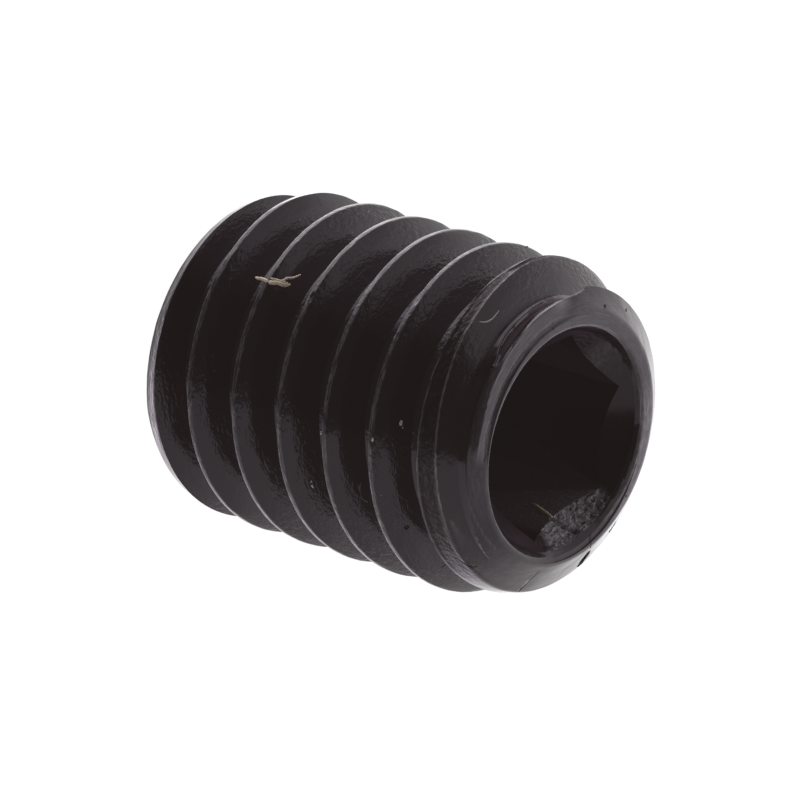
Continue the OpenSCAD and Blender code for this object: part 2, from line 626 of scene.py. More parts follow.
def thread_form(thread):
    """One pitch of the thread, from root to root, as (radius, height) with a rounded crest."""
    pitch, crest_w, root_w = mm(thread.pitch), mm(thread.crest_width), mm(thread.root_width)
    crest_r = mm(thread.crest_diameter) / 2
    root_r = crest_r - (pitch - (crest_w + root_w)) / 2 / math.tan(thread.flank_angle)
    foot = (root_r - root_w / 6, -pitch / 2)
    root = (root_r, -pitch / 2 + root_w / 2)
    shoulder = (crest_r - 0.003, -crest_w / 2)
    half = [foot, ((foot[0] * 2 + root[0]) / 3, (foot[1] * 2 + root[1]) / 3)]
    flank = between(root, shoulder, 0.05)
    for index, (r, z) in enumerate(flank):
        t = index / len(flank)
        # 6.75 t^2 (1 - t) is 1 at its highest, two thirds of the way up the flank
        half.append((r, z - mm(thread.flank_bulge) * 6.75 * t * t * (1 - t)))
    half += rounded(half[-1], shoulder, (crest_r, 0), 0.035, 3) + [(crest_r, 0)]
    return half + [(r, -z) for r, z in reversed(half[:-1])]


def rolled_unevenness(point, thread):
    """How far rolling has pushed the surface in or out at a point."""
    turns, rise = crest_place(point, thread)
    across = math.hypot(point.x, point.y)
    along = turns * TURN * across
    slow = noise.noise(point * 0.9)
    quick = noise.noise(Vector((along * 1.1, rise * 5, across * 3)))
    crest_r = mm(thread.crest_diameter) / 2
    at_crest = ramp(crest_r - 0.12, crest_r - 0.02, across)
    ragged = noise.noise(Vector((along * 7, rise * 9, 3.0))) * at_crest
    return mm(thread.unevenness) * (slow + 0.7 * quick + 0.7 * ragged)


def rolled_ridge(thread, steps=200):
    """The helical ridge and its core, longer than the screw and closed on the axis."""
    pitch = mm(thread.pitch)
    bottom = -pitch
    turns = math.ceil(mm(SCREW_LENGTH) / pitch) + 2
    piece = draw_path("ridge", [(r, 0, bottom + z) for r, z in thread_form(thread)])
    start_edit(piece)
    bpy.ops.transform.rotate(
        value=-thread.start_turn, orient_axis="Z", center_override=(0, 0, 0)
    )
    end_edit()
    apply_modifier(
        piece, "SCREW", angle=TURN, screw_offset=pitch, iterations=turns, steps=steps,
        render_steps=steps, use_merge_vertices=False,
    )
    start_edit(piece)
    bpy.ops.mesh.remove_doubles(threshold=MERGE_DISTANCE)
    end_edit()
    close_on_axis(piece, bottom - pitch / 2 - 0.3, below=True)
    close_on_axis(piece, bottom + (turns + 0.5) * pitch + 0.3, below=False)
    start_edit(piece)
    tidy_shell()
    end_edit()
    for vertex in piece.data.vertices:
        across = Vector((vertex.co.x, vertex.co.y, 0))
        if across.length > 1:
            vertex.co += across.normalized() * rolled_unevenness(vertex.co, thread)
    return piece


def close_on_axis(piece, height, below):
    """Extrudes the open edge at one end of the ridge and gathers it to a point on the axis."""
    start_edit(piece)
    bpy.ops.mesh.select_mode(type="EDGE")
    bpy.ops.mesh.select_all(action="DESELECT")
    bpy.ops.mesh.select_non_manifold(
        extend=False, use_wire=False, use_boundary=True, use_multi_face=False,
        use_non_contiguous=False, use_verts=False,
    )
    end_edit()
    vertices = piece.data.vertices
    middle = sum(v.co.z for v in vertices) / len(vertices)
    for edge in piece.data.edges:
        z = (vertices[edge.vertices[0]].co.z + vertices[edge.vertices[1]].co.z) / 2
        if edge.select and (z > middle) == below:
            edge.select = False
    for vertex in vertices:
        if vertex.select and (vertex.co.z > middle) == below:
            vertex.select = False
    bpy.ops.object.mode_set(mode="EDIT")
    bpy.ops.mesh.extrude_region_move()
    bpy.ops.mesh.merge(type="CENTER")
    end_edit()
    for vertex in vertices:
        if vertex.select:
            vertex.co = (0, 0, height)


def face_radius(height, thread, ends):
    """Radius of the turned socket end at a height, from its own axis."""
    face_r, lead_r = mm(ends.face_diameter) / 2, mm(ends.face_lead_diameter) / 2
    drop = mm(SCREW_LENGTH) - height
    chamfer_h = (lead_r - face_r) / math.tan(ends.face_chamfer)
    if drop < chamfer_h:
        return face_r + drop * math.tan(ends.face_chamfer)
    slope = (mm(thread.crest_diameter) / 2 - lead_r) / mm(ends.face_lead_length)
    return lead_r + (drop - chamfer_h) * slope


def bruised_edge(point, middle):
    """How far a point of the socket face lies over the plain ring, beside the fold.

    The ring's outer edge is pushed up there, with a valley inside it and a crease that runs on
    from the valley.
    """
    angle, _ = polar(point)
    radius = math.hypot(point.x - middle[0], point.y - middle[1])
    rise_start, height = 2.165, 0.13
    outer = 2.34 - 0.08 * ramp(115, 145, angle)
    hump = height * min(1.0, max(0.0, (radius - rise_start) / 0.165))
    hump *= 1 - ramp(outer, outer + 0.06, radius)
    valley = 0.028 * window(2.095, 2.145, 0.035, radius)
    crease = 0.012 * window(48, 84, 6, angle) * window(2.11, 2.12, 0.03, radius)
    return window(84, 150, 15, angle) * (hump - valley) - crease


def turned_waviness(point):
    """Soft waves that the chamfering tool and handling have left on the turned ends."""
    return 0.005 * noise.noise(point * 1.3) + 0.003 * noise.noise(point * 4.1)


def point_blank(thread, ends):
    """The turned point: cup, narrow rim, point chamfer and lead taper."""
    cup_r = mm(ends.cup_diameter) / 2
    rim = (cup_r + 0.06, 0.0)
    lead_r = mm(ends.point_lead_diameter) / 2
    lead = (lead_r, (lead_r - rim[0]) / math.tan(ends.point_chamfer))
    crest_r = mm(thread.crest_diameter) / 2
    clear_r = crest_r + CLEARANCE
    slope = mm(ends.point_lead_length) / (crest_r - lead_r)
    top = (clear_r, lead[1] + slope * (clear_r - lead_r))
    high = mm(SCREW_LENGTH) + OVERRUN
    outline = [(0, cup_r / math.tan(math.radians(60))), (cup_r, 0)]
    outline += between(rim, lead, 0.1) + rounded(rim, lead, top, 0.05, 3)
    outline += between(lead, top, 0.1)[1:] + [top, (clear_r, high), (0, high)]
    blank = turned("point_blank", outline, off_axis(ends.point_runout, ends.point_runout_turn))
    push(blank, turned_waviness)
    return blank


def unfilled_crest(point, thread, wear):
    """How far the two lips of an unfilled crest stand up at a point of the socket end's blank.

    Where the blank is too thin, the last crest is left as a rough band between two lips, and
    the sliver of the crest after it as one burr with a groove and a finer lip behind it.
    """
    turns, rise = crest_place(point, thread)
    _, radius = polar(point)
    half = crest_half_width(radius, thread)
    if half <= 0 or abs(rise / half) > 1.6:
        return 0.0
    across = rise / half
    lip, hollow = mm(wear.lip_height), mm(wear.hollow_depth)
    along = turns * TURN * radius
    waver = noise.noise(Vector((along * 2.2, 1.7, 0)))
    quick = noise.noise(Vector((along * 9, across * 2, 5)))
    band = window(5.91, 6.28, 0.06, turns)
    edge = ramp(0.62, 0.95, abs(across) + 0.12 * waver)
    lift = band * (lip * edge * (1 + 0.6 * quick) - hollow * (1 - edge) * (0.6 + 0.5 * quick))
    burr = window(6.93, 7.065, 0.03, turns) * ramp(0.5, 0.7, -across)
    outer = ramp(0.89, 0.97, -across) * (1.5 + 0.9 * quick)
    inner = window(0.75, 0.79, 0.035, -across + 0.02 * waver) * 0.9
    groove = window(0.82, 0.86, 0.04, -across)
    lift += burr * (lip * (outer + inner) - hollow * groove)
    return lift


def face_blank(thread, ends, wear):
    """The turned socket end: flat face, face chamfer and lead taper."""
    length = mm(SCREW_LENGTH)
    crest_r = mm(thread.crest_diameter) / 2
    clear_r = crest_r + CLEARANCE
    lead_r = mm(ends.face_lead_diameter) / 2
    face = (mm(ends.face_diameter) / 2, length)
    lead = (lead_r, length - (lead_r - face[0]) / math.tan(ends.face_chamfer))
    slope = mm(ends.face_lead_length) / (crest_r - lead_r)
    foot = (clear_r, lead[1] - slope * (clear_r - lead_r))
    edge = rounded(lead, face, (0, length), mm(ends.face_edge_radius), 8)
    corner = rounded(foot, lead, face, 0.1, 4)
    # The last crest's land lies within half a pitch of the corner and needs the finest rings
    land = (lead_r + 0.56 / slope, lead[1] - 0.56)
    outline = [(0, -OVERRUN), (clear_r, -OVERRUN)]
    outline += between(foot, land, 0.09) + between(land, corner[0], 0.02) + corner
    outline += between(corner[-1], edge[0], 0.02)[1:] + edge
    outline += between(edge[-1], (0.3, length), 0.05)[1:] + [(0, length)]
    middle = off_axis(ends.face_runout, ends.face_runout_turn)
    blank = turned("face_blank", outline, middle, 320)
    push(
        blank,
        lambda p: unfilled_crest(p, thread, wear) + turned_waviness(p)
        + (bruised_edge(p, middle) if p.z > length - 0.3 else 0.0),
    )
    return blank


def countersink_scars(point, wear):
    """How deep the broach has torn the countersink at a point: pits, scales and one gouge."""
    angle, radius = polar(point)
    on_cone = window(1.44, 1.83, 0.04, radius)
    pit = mm(wear.pit_depth)
    torn = window(252, 296, 6, angle) * on_cone
    rough = noise.noise(point * 14.0)
    fine = noise.noise(point * 30.0 + Vector((5, 1, 2)))
    pitted = ramp(0.18, 0.42, rough) * ramp(262, 268, angle)
    depth = torn * (pit * pitted + 0.25 * pit * fine)
    # Wavy scales before the gouge
    scales = math.sin(radius * 60 + 5.0 * noise.noise(point * 5.0))
    depth += 0.3 * pit * window(247, 260, 5, angle) * on_cone * scales
    # The gouge crosses the torn field outwards, a little askew
    course = 262.5 + (radius - 1.52) * 25
    depth += pit * 1.2 * torn * (1 - ramp(0.3, 1.6, abs(angle - course)))
    # Scales: waves across the cone between the two corners on the far side
    scaly = (window(4, 50, 8, angle) + 0.7 * window(330, 344, 6, angle)) * on_cone
    wave = math.sin(radius * 80 + 6.0 * noise.noise(point * 4.0))
    depth += 0.003 * scaly * (wave + 1.6 * noise.noise(point * 12.0))
    # Keys have worn the steep rim back on the lower side
    above_foot = min(0.2, max(0.0, point.z - mm(SCREW_LENGTH) + 0.2))
    depth += 0.28 * above_foot * window(250, 290, 35, angle)
    return depth + 0.003 * noise.noise(point * 5.0)


def socket_mouth(socket, wear):
    """The cutter for the mouth: a rounded lip, a steep rim and the scarred countersink."""
    length = mm(SCREW_LENGTH)
    mouth_r = mm(socket.mouth_diameter) / 2
    foot = (mm(socket.mouth_foot_diameter) / 2, length - mm(socket.mouth_depth))
    fall = 1 / math.tan(socket.countersink / 2)
    inner = (1.38, foot[1] - (foot[0] - 1.38) * fall)
    apex = (0, foot[1] - foot[0] * fall)
    corner = rounded(inner, foot, (mouth_r, length), 0.3, 6)
    lip = rounded(foot, (mouth_r, length), (mouth_r + 1, length), mm(socket.lip_radius), 8)
    outline = [apex] + between(inner, corner[0], 0.02) + corner
    outline += between(corner[-1], lip[0], 0.03)[1:] + lip
    outline += [(lip[-1][0], length + OVERRUN), (0, length + OVERRUN)]
    cutter = turned("mouth", outline, steps=400)
    push(cutter, lambda p: countersink_scars(p, wear) if p.z < length + 0.5 else 0)
    return cutter


def hexagon(socket):
    """The cutter for the hexagon: a six-sided prism with a corner on +X."""
    length, depth = mm(SCREW_LENGTH), mm(socket.depth)
    corner = mm(socket.across_flats) / 2 / math.cos(math.radians(30))
    height = depth + OVERRUN
    deselect()
    bpy.ops.mesh.primitive_cylinder_add(
        vertices=6, radius=corner, depth=height, location=(0, 0, length - depth + height / 2)
    )
    piece = bpy.context.object
    piece.name = "hexagon"
    start_edit(piece)
    bpy.ops.transform.rotate(
        value=math.radians(30), orient_axis="Z", center_override=(0, 0, 0)
    )
    end_edit()
    bpy.ops.object.transform_apply(location=True, rotation=True, scale=True)
    return piece


def drill_point(socket):
    """The cutter for the 120 degree point that the drill leaves below the hexagon."""
    bottom = mm(SCREW_LENGTH) - mm(socket.depth)
    top = bottom + OVERRUN
    half = mm(socket.across_flats) / 2
    fall = half / math.tan(math.radians(60))
    outline = [(0, bottom - fall), (half, bottom), (half, top), (0, top)]
    return turned("drill_point", outline, steps=120)


def on_surface(body, point, height):
    """The point of a body's surface nearest to a point, raised by height along its normal."""
    found, at, normal, _ = body.closest_point_on_mesh(point)
    if not found:
        raise RuntimeError("a mark lies off the screw")
    return at + normal * height


def outward_and_up(point, up):
    """A direction that points away from the axis at a point, and up by a share of that."""
    return Vector((point.x, point.y, 0)).normalized() + Vector((0, 0, up))


def spindle(name, start, end, width, depth, outward, lumps):
    """A long lump between two points, width across and depth out along the direction outward.

    Lumps is how uneven it is, as a share of its size.
    """
    deselect()
    bpy.ops.mesh.primitive_ico_sphere_add(subdivisions=3, radius=1)
    piece = bpy.context.object
    piece.name = name
    along = (end - start).normalized()
    up = (outward - along * outward.dot(along)).normalized()
    turn = Matrix((up.cross(along), up, along)).transposed()
    size = Vector((width / 2, depth, (end - start).length / 2))
    for vertex in piece.data.vertices:
        p = vertex.co * (1 + lumps * noise.noise(vertex.co * 2.3 + start))
        vertex.co = turn @ Vector((p.x * size.x, p.y * size.y, p.z * size.z))
        vertex.co += (start + end) / 2
    return piece


# Marks of handling that take metal away: start and end as (angle, radius, height), width, depth
GOUGES = (
    # the notch at the lower edge of the ring
    ((274.6, 2.26, 7.81), (272.8, 2.70, 7.46), 0.26, 0.11),
    # the small notch further round
    ((293.0, 2.48, 7.68), (293.6, 2.68, 7.46), 0.24, 0.10),
    # a shallow groove down the chamfer
    ((239.9, 2.16, 7.83), (238.6, 2.64, 7.48), 0.05, 0.012),
    # short nicks on the face
    ((83.4, 2.20, 7.865), (86.2, 2.08, 7.905), 0.05, 0.032),
    ((50.0, 2.25, 7.855), (48.6, 2.33, 7.80), 0.055, 0.026),
    ((32.6, 2.42, 7.745), (31.4, 2.50, 7.69), 0.045, 0.02),
    ((303.4, 2.04, 7.90), (303.0, 2.08, 7.90), 0.04, 0.02),
    # a dent in a crest, and the pit in the flank
    ((120.4, 2.915, 4.10), (115.2, 2.915, 4.06), 0.10, 0.045),
    ((190.6, 2.62, 6.47), (192.6, 2.60, 6.475), 0.10, 0.035),
)


# Fine marks: whether metal is added or taken away, places as (angle, radius, height), width, and
# the height of the mark's middle over the surface, or None where the places are exact. The fold
# and its two beads come first.
SCRATCHES = (
    # the fold under the last sliver of thread, its outer bead and its inner lip
    ("DIFFERENCE", ((56, 2.53, 7.50), (68, 2.52, 7.52), (80, 2.50, 7.55), (90, 2.49, 7.575),
                    (100, 2.47, 7.60), (110, 2.43, 7.64), (119, 2.38, 7.69)), 0.50, None),
    ("UNION", ((74, 2.31, 7.36), (77, 2.31, 7.37), (83, 2.305, 7.39), (88.6, 2.30, 7.42),
               (96, 2.30, 7.435), (102.1, 2.30, 7.455), (107, 2.29, 7.49), (112, 2.29, 7.56),
               (116.4, 2.30, 7.639), (120.2, 2.30, 7.651)), 0.045, 0.0),
    ("UNION", ((60, 2.50, 7.67), (65.8, 2.456, 7.69), (74, 2.42, 7.71), (82.6, 2.39, 7.72),
               (89.6, 2.344, 7.745), (95.4, 2.354, 7.73), (104.3, 2.30, 7.76),
               (112.1, 2.28, 7.764), (117.6, 2.227, 7.795)), 0.026, 0.0),
    # the hollow along the crest before the socket end cuts it
    ("DIFFERENCE", ((36, 2.895, 6.831), (48, 2.895, 6.864), (60, 2.895, 6.897),
                    (72, 2.88, 6.931), (84, 2.86, 6.964)), 0.13, 0.035),
    # the crack that runs from the notch to the lip, and a line that runs to the second notch
    ("DIFFERENCE", ((276, 1.92, 7.86), (274.5, 1.99, 7.89), (272.9, 2.08, 7.9),
                    (273.4, 2.2, 7.86)), 0.04, 0.004),
    ("DIFFERENCE", ((289, 2.44, 7.72), (291, 2.55, 7.62), (292, 2.62, 7.52)), 0.05, 0.005),
    # lines down the chamfer and beside it
    ("DIFFERENCE", ((239.8, 2.154, 7.823), (239.6, 2.35, 7.72), (239, 2.61, 7.491)), 0.05, 0.012),
    ("DIFFERENCE", ((201.6, 2.617, 7.385), (207, 2.555, 7.51), (208.3, 2.486, 7.561)), 0.05, 0.01),
    ("DIFFERENCE", ((217.5, 2.6, 6.549), (218.6, 2.515, 6.601)), 0.05, 0.01),
    # drips of hardened oil on the flanks
    ("UNION", ((160.7, 2.849, 2.247), (158.6, 2.82, 2.255), (157.3, 2.793, 2.271),
               (156.6, 2.72, 2.311), (158.4, 2.69, 2.34), (160.6, 2.655, 2.359)), 0.05, -0.012),
    ("UNION", ((179.4, 2.453, 5.528), (183, 2.50, 5.516), (186.2, 2.506, 5.516),
               (188.9, 2.447, 5.557)), 0.05, -0.012),
    ("UNION", ((146.3, 2.63, 2.33), (146.6, 2.60, 2.35)), 0.05, -0.010),
    ("UNION", ((151.6, 2.58, 2.38), (152.3, 2.55, 2.395)), 0.05, -0.010),
    ("UNION", ((172.2, 2.61, 2.41), (173.0, 2.59, 2.43)), 0.05, -0.010),
)


class OBJECT_OT_screw_body(bpy.types.Operator):
    """Rolls the thread, turns both ends, broaches the socket and marks the edges"""

    bl_idname = "object.screw_body"
    bl_label = "Screw Body"

    def execute(self, context):
        scene = context.scene
        thread, ends = scene.screw_thread, scene.screw_ends
        body = rolled_ridge(thread)
        combine(body, point_blank(thread, ends), "INTERSECT")
        combine(body, face_blank(thread, ends, scene.screw_wear), "INTERSECT")
        combine(body, hexagon(scene.screw_socket), "DIFFERENCE")
        combine(body, drill_point(scene.screw_socket), "DIFFERENCE")
        combine(body, socket_mouth(scene.screw_socket, scene.screw_wear), "DIFFERENCE")
        if not body.data.polygons:
            raise RuntimeError("the cuts have left nothing of the screw")
        for start, end, width, depth in GOUGES:
            a, b = place(*start), place(*end)
            outward = outward_and_up(a, 0.8)
            gouge = spindle("gouge", a, b, width, depth, outward, lumps=0.35)
            combine(body, gouge, "DIFFERENCE")
        raised = []
        for operation, places, width, height in SCRATCHES:
            path = [place(*p) for p in places]
            if height is not None:
                path = [on_surface(body, point, height) for point in path]
            combine(body, fibre("scratch", path, width), operation)
            if operation == "UNION":
                raised.append((path, width))
        mark_wear(body, scene, raised)
        body.name = body.data.name = "screw_body"
        finish_piece(body, black_oxide_material(scene.screw_finish, thread, scene.screw_stage))
        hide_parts(NODE)
        return {"FINISHED"}


def reach_of(point, path):
    """Distance of a point from a path of straight lines."""
    best = 1e9
    for a, b in zip(path, path[1:]):
        t = min(1.0, max(0.0, (point - a).dot(b - a) / (b - a).length_squared))
        best = min(best, (point - a - (b - a) * t).length)
    return best


def mark_wear(body, scene, raised):
    """Stores how bright each point is rubbed, with a painted sheen on one side of the ring, how
    much painted shade it carries, and how torn.

    Raised holds the path and width of each mark that adds metal: first the fold's outer bead,
    then its inner lip.
    """
    thread, ends = scene.screw_thread, scene.screw_ends
    mouth_r = mm(scene.screw_socket.mouth_diameter) / 2
    length = mm(SCREW_LENGTH)
    wear, painted_shade, rough = (
        body.data.attributes.new(name, "FLOAT", "POINT") for name in ("wear", "painted_shade", "rough")
    )
    middle = Vector(off_axis(ends.face_runout, ends.face_runout_turn))
    for index, vertex in enumerate(body.data.vertices):
        point = vertex.co
        angle, radius = polar(point)
        from_middle = (point.xy - middle).length
        turns, rise = crest_place(point, thread)
        across = abs(rise / max(crest_half_width(radius, thread), 0.01))
        drop = length - point.z
        rub_and_sheen = 0.0
        # The two lips beside the unfilled crest
        cut = abs(from_middle - face_radius(point.z, thread, ends)) < 0.03
        if cut and point.z > 6.5 and across < 1.05:
            rub_and_sheen = 0.3 * window(5.92, 6.2, 0.08, turns) * ramp(0.8, 0.94, across)
        # The ring round the mouth: rubbed, with a painted sheen on one side and painted shade on
        # the other, and its far lip
        if drop < 0.3 and radius > mouth_r - 0.02:
            # Painted sheen on the side from 300 to 345 degrees and painted shade on the side from
            # 200 to 270 degrees, over an even rub
            painted_shade_side, bright = window(200, 270, 30, angle), window(300, 345, 20, angle)
            ring_rub_and_sheen = 0.095 - 0.08 * painted_shade_side + 0.22 * bright
            rub_and_sheen = max(rub_and_sheen, ring_rub_and_sheen * ramp(length - 0.25, length - 0.1, point.z))
            on_lip = window(mouth_r + 0.01, mouth_r + 0.03, 0.02, radius)
            rub_and_sheen = max(rub_and_sheen, 0.2 * window(40, 130, 20, angle) * on_lip)
        on_bead = False
        if radius < 2.6 and point.z > 7.3 and point.y > 0:
            outer, inner = (reach_of(point, path) < 0.52 * width for path, width in raised[:2])
            on_bead = outer or inner
            if inner:
                rub_and_sheen = 0.3
        # The lead taper at the point: its reflectance is raised, most on the side from 115 to 180
        # degrees, and it stays dark at its corner with the chamfer
        if point.z < 1.9 and radius > 2.6 and -0.5 < vertex.normal.z < 0.1:
            rub_and_sheen = (0.2 + 0.55 * window(115, 180, 18, angle)) * ramp(1.07, 1.12, point.z)
        # The land of the unfilled crest: rough, with painted shade between its lips
        land = window(5.80, 6.30, 0.06, turns) * (1 - ramp(0.8, 1.0, across))
        land *= point.z > 6.5 and radius > 2.55
        torn, black = 0.8 * land, 0.6 * land
        # Painted shade in the valley inside the ring's pushed-up edge
        if drop < 0.15 and radius > mouth_r + 0.05:
            valley = window(86, 120, 12, angle) * window(2.09, 2.15, 0.03, from_middle)
            black = max(black, 0.5 * valley)
        # The countersink: painted shade, but torn bare on the lower side, with less painted shade
        # on the far side
        if radius < mouth_r - 0.06 and drop < 0.7:
            torn = window(252, 297, 6, angle)
            rub_and_sheen = max(rub_and_sheen, 0.18 * torn * (1 - ramp(1.80, 1.84, radius)))
            far = max(window(350, 360, 10, angle), window(0, 20, 25, angle))
            black = 1 - torn - 0.6 * far * (1 - torn)
        # Painted shade in the fold under the last sliver of thread
        if radius < 2.5 and point.z > 7.3:
            below = -rise if turns > 6.5 else rise - 0.1
            black = max(black, 0.9 * window(66, 116, 8, angle) * ramp(0.24, 0.30, below))
        wear.data[index].value = rub_and_sheen
        painted_shade.data[index].value = 0.0 if on_bead else max(0.0, black)
        rough.data[index].value = torn


# ---------------------------------------- lint and dirt


def fibre(name, points, thickness):
    """A tapering fibre along a few points, thickest in the middle."""
    piece = draw_path(name, points)
    activate(piece)
    bpy.ops.object.modifier_add(type="SKIN")
    for index, skin in enumerate(piece.data.skin_vertices[0].data):
        along = (index + 0.5) / len(points)
        size = thickness / 2 * (0.35 + 0.65 * math.sin(math.pi * along))
        skin.radius = (size, size)
    bpy.ops.object.modifier_apply(modifier=piece.modifiers[0].name)
    apply_modifier(piece, "SUBSURF", levels=2, render_levels=2)
    return piece


def join(pieces, name):
    deselect()
    for piece in pieces:
        piece.select_set(True)
    bpy.context.view_layer.objects.active = pieces[0]
    bpy.ops.object.join()
    pieces[0].name = pieces[0].data.name = name
    return pieces[0]


# The frayed lint across the second crest: the places of each fibre, and its thickness
LINT = (
    (((117.1, 2.93, 2.828), (117.1, 2.93, 2.889), (116.9, 2.93, 2.972), (116.9, 2.93, 3.061),
      (117.2, 2.93, 3.117)), 0.055),
    (((117.0, 2.935, 2.86), (117.3, 2.93, 2.93), (117.0, 2.925, 3.01),
      (117.4, 2.92, 3.09)), 0.045),
    (((117.8, 2.90, 3.135), (116.8, 2.905, 3.140), (116.6, 2.857, 3.165), (115.7, 2.805, 3.192),
      (115.1, 2.745, 3.225), (114.4, 2.67, 3.265), (112.9, 2.621, 3.29)), 0.085),
    (((117.4, 2.90, 3.150), (116.2, 2.86, 3.175), (115.4, 2.79, 3.215), (114.6, 2.70, 3.262),
      (113.6, 2.66, 3.285)), 0.070),
    (((115.9, 2.94, 3.122), (115.3, 2.864, 3.164), (114.3, 2.775, 3.212), (113.3, 2.744, 3.227),
      (112.0, 2.722, 3.236), (110.5, 2.647, 3.275), (108.5, 2.603, 3.296),
      (107.2, 2.579, 3.306)), 0.045),
    (((115.2, 2.86, 3.18), (114.6, 2.80, 3.22), (113.9, 2.74, 3.25), (113.4, 2.68, 3.28)), 0.026),
)


class OBJECT_OT_screw_lint(bpy.types.Operator):
    """Lays a tuft of cotton lint over a crest"""

    bl_idname = "object.screw_lint"
    bl_label = "Cotton Lint"

    def execute(self, context):
        fibres = [fibre("lint", [place(*p) for p in path], width) for path, width in LINT]
        lint = join(fibres, "cotton_lint")
        finish_piece(lint, fibre_material("cotton_lint", context.scene.screw_finish.lint), 80)
        return {"FINISHED"}


FINE_HAIR = (
    (106.9, 2.70, 7.19), (105.6, 2.64, 7.24), (104.2, 2.60, 7.265), (102.0, 2.57, 7.27),
    (99.6, 2.565, 7.26), (97.2, 2.57, 7.25),
)
SOCKET_FIBRE = (
    (268.9, 1.47, 6.88), (267.2, 1.455, 7.02), (265.2, 1.46, 7.16), (263.9, 1.47, 7.30),
    (262.9, 1.50, 7.43),
)


class OBJECT_OT_screw_fibres(bpy.types.Operator):
    """Lays a fine hair on the last flank and a straw-coloured fibre in the socket"""

    bl_idname = "object.screw_fibres"
    bl_label = "Fine Fibres"

    def execute(self, context):
        finish = context.scene.screw_finish
        hair = fibre("fine_hair", [place(*p) for p in FINE_HAIR], 0.03)
        finish_piece(hair, fibre_material("fine_hair", finish.hair), 80)
        straw = fibre("socket_fibre", [place(*p) for p in SOCKET_FIBRE], 0.055)
        finish_piece(straw, fibre_material("straw_fibre", finish.fibre), 80)
        return {"FINISHED"}


# Specks: place, size across and how flat they lie
SPECKS = (
    ((156.4, 2.90, 6.22), 0.055, 0.5),
    ((150.0, 2.505, 6.425), 0.085, 0.3),
    ((151.8, 2.470, 6.44), 0.045, 0.3),
    ((184.4, 2.575, 4.475), 0.060, 0.4),
    ((186.6, 2.585, 4.478), 0.070, 0.4),
    ((159.5, 2.90, 5.12), 0.045, 0.5),
    ((175.7, 2.82, 6.31), 0.030, 0.5),
    ((178.2, 2.84, 6.30), 0.030, 0.5),
    ((62.5, 2.785, 3.02), 0.035, 0.5),
    ((74.9, 2.545, 3.19), 0.035, 0.5),
    ((76.9, 2.67, 3.12), 0.030, 0.5),
    ((48.6, 2.89, 5.92), 0.045, 0.5),
    ((51.0, 2.80, 5.98), 0.040, 0.5),
)


class OBJECT_OT_screw_specks(bpy.types.Operator):
    """Scatters the pale specks that stick to the oil"""

    bl_idname = "object.screw_specks"
    bl_label = "Specks"

    def execute(self, context):
        specks = []
        for where, size, flatness in SPECKS:
            middle = place(*where)
            along = Vector((-middle.y, middle.x, 0)).normalized() * size / 2
            specks.append(
                spindle("speck", middle - along, middle + along, size * 0.7,
                        size * flatness / 2, outward_and_up(middle, 0.9), lumps=0.5)
            )
        piece = join(specks, "pale_specks")
        finish_piece(piece, fibre_material("pale_speck", context.scene.screw_finish.speck), 80)
        return {"FINISHED"}


# ---------------------------------------- stage


def direction(azimuth, elevation=0.0):
    flat = math.cos(elevation)
    return (flat * math.cos(azimuth), flat * math.sin(azimuth), math.sin(elevation))


def studio_light(m, toward, stage):
    """How strongly the studio shines from a direction.

    One half of the studio is unlit, except where a white card reaches in front of it and behind
    the camera's side. The other half is pale and is brightest behind the screw, and one soft lamp
    shines on its thread.
    """

    def along(axis):
        return vector_math(m, "DOT_PRODUCT", toward, axis)["Value"]

    shaded_side = along(direction(stage.shade_azimuth, stage.shade_elevation))
    shade = soft_range(m, shaded_side, -0.13, 0.07)
    card = soft_range(m, along(direction(stage.card_azimuth)), 0.12, 0.17)
    to_camera = along(direction(stage.azimuth, stage.elevation))
    near = soft_range(m, to_camera, -0.16, 0.04)
    unlit = times(m, shade, calculate(m, "SUBTRACT", near, card))
    unlit = calculate(m, "MAXIMUM", unlit, 0.0)
    behind = along(direction(stage.azimuth + math.pi, math.radians(30)))
    extra = soft_range(m, behind, 0.55, 0.95, 0.0, stage.backdrop)
    paper = soft_range(m, to_camera, 0.0, -0.45, 0.0, stage.backdrop)
    lit = calculate(m, "ADD", calculate(m, "MAXIMUM", extra, paper), stage.surround)
    lamp = along(direction(stage.lamp_azimuth, stage.lamp_elevation))
    glow = soft_range(m, lamp, 0.74, 0.92, 0.0, stage.lamp)
    strength_in_shade = 0.06
    studio = {0: unlit, 2: lit, 3: strength_in_shade}
    base = add_node(m, "ShaderNodeMix", {"data_type": "FLOAT"}, studio).outputs[0]
    return calculate(m, "ADD", base, glow)


def stage_floor(stage):
    """A plain pale floor that blends into the white behind it and keeps a soft shadow.

    The screw's own reflections see the floor lit like the studio above it.
    """
    deselect()
    bpy.ops.mesh.primitive_plane_add(size=4, location=(0, 0, 0))
    floor = bpy.context.object
    floor.name = "floor"
    m = new_material("pale_floor")
    seen = add_node(m, "ShaderNodeLightPath").outputs["Is Camera Ray"]
    shade = add_node(m, "ShaderNodeBsdfDiffuse", inputs={"Color": linear("606060")})
    glow = add_node(m, "ShaderNodeEmission", inputs={"Strength": 0.99})
    for_camera = add_node(
        m, "ShaderNodeAddShader", inputs={0: shade.outputs[0], 1: glow.outputs[0]}
    )
    here = add_node(m, "ShaderNodeTexCoord").outputs["Object"]
    from_screw = vector_math(m, "SUBTRACT", here, (0, 0, 0.6 * SCREW_LENGTH))["Vector"]
    toward = vector_math(m, "NORMALIZE", from_screw)["Vector"]
    for_light = add_node(
        m, "ShaderNodeEmission", inputs={"Strength": studio_light(m, toward, stage)}
    )
    both = add_node(
        m,
        "ShaderNodeMixShader",
        inputs={0: seen, 1: for_light.outputs[0], 2: for_camera.outputs[0]},
    )
    surface(m, both)
    floor.data.materials.append(m)


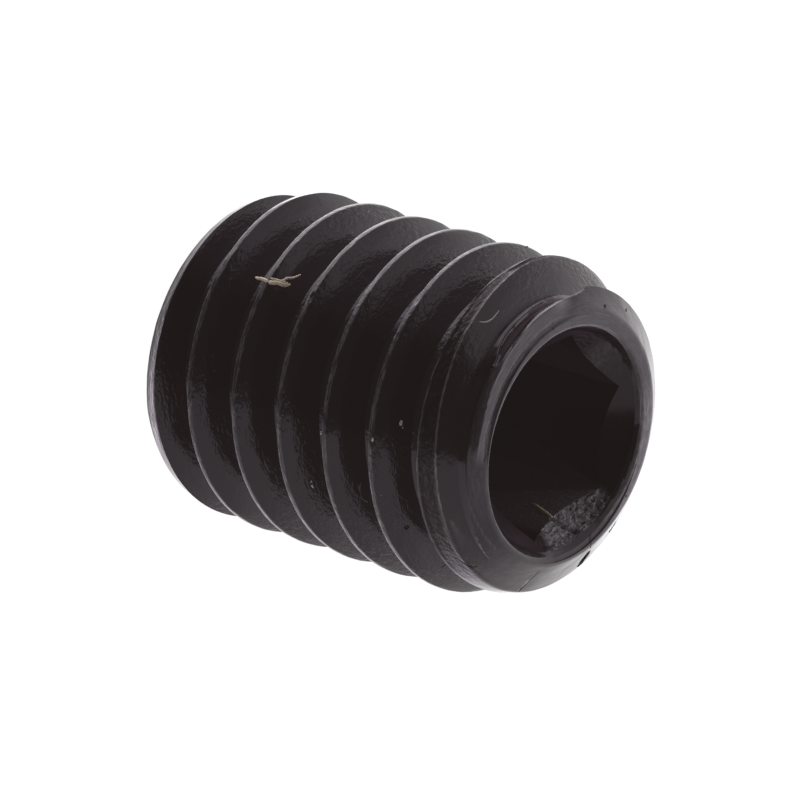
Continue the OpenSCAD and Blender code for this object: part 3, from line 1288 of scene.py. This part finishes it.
def surroundings(stage):
    """The studio all round, white where the camera looks straight at it."""
    world = bpy.data.worlds.new("surroundings")
    bpy.context.scene.world = world
    world.use_nodes = True
    world.node_tree.nodes.clear()
    toward = add_node(world, "ShaderNodeTexCoord").outputs["Generated"]
    seen = add_node(world, "ShaderNodeLightPath").outputs["Is Camera Ray"]
    views = {0: seen, 2: studio_light(world, toward, stage), 3: 1.0}
    shown = add_node(world, "ShaderNodeMix", {"data_type": "FLOAT"}, views).outputs[0]
    sky = add_node(world, "ShaderNodeBackground", inputs={"Strength": shown})
    add_node(world, "ShaderNodeOutputWorld", inputs={"Surface": sky.outputs[0]})


def aim_camera(stage):
    """Puts the camera at its angle and distance from the point that it aims at."""
    back = Vector(direction(stage.azimuth, stage.elevation))
    level = Vector((0, 0, 1)).cross(back).normalized()
    upright = back.cross(level)
    right = level * math.cos(stage.roll) - upright * math.sin(stage.roll)
    up = level * math.sin(stage.roll) + upright * math.cos(stage.roll)
    at = (LOW + HIGH) / 2 + Vector(stage.aim) + back * stage.distance
    deselect()
    bpy.ops.object.camera_add(location=at)
    camera = bpy.context.object
    turn = Matrix((right, up, back)).transposed().to_4x4()
    camera.matrix_world = Matrix.Translation(at) @ turn
    camera.data.lens = stage.lens
    camera.data.sensor_width = 36
    camera.data.clip_start = 1 * MM
    bpy.context.scene.camera = camera


class OBJECT_OT_screw_stage(bpy.types.Operator):
    """Adds the floor, the surrounding light and the camera"""

    bl_idname = "object.screw_stage"
    bl_label = "Stage"

    def execute(self, context):
        stage = context.scene.screw_stage
        stage_floor(stage)
        surroundings(stage)
        aim_camera(stage)
        context.scene.view_settings.view_transform = "Standard"
        return {"FINISHED"}


# ---------------------------------------- add-on


class VIEW3D_PT_set_screw(bpy.types.Panel):
    """Lists the screw's operators and settings"""

    bl_label = "Set Screw"
    bl_space_type = "VIEW_3D"
    bl_region_type = "UI"
    bl_category = "Set Screw"

    def draw(self, context):
        for operator in OPERATORS:
            self.layout.operator(operator.bl_idname)
        for name, group in SETTINGS.items():
            box = self.layout.box()
            box.label(text=group.__doc__)
            for prop in group.__annotations__:
                box.prop(getattr(context.scene, name), prop)


OPERATORS = (
    OBJECT_OT_screw_body,
    OBJECT_OT_screw_lint,
    OBJECT_OT_screw_fibres,
    OBJECT_OT_screw_specks,
    OBJECT_OT_screw_stage,
)
CLASSES = (*SETTINGS.values(), *OPERATORS, VIEW3D_PT_set_screw)


def register():
    for cls in CLASSES:
        bpy.utils.register_class(cls)
    for name, group in SETTINGS.items():
        setattr(bpy.types.Scene, name, bpy.props.PointerProperty(type=group))


def unregister():
    for name in SETTINGS:
        delattr(bpy.types.Scene, name)
    for cls in reversed(CLASSES):
        bpy.utils.unregister_class(cls)


def main():
    register()
    for operator in OPERATORS:
        group, name = operator.bl_idname.split(".")
        getattr(getattr(bpy.ops, group), name)()


if __name__ == "__main__":
    main()
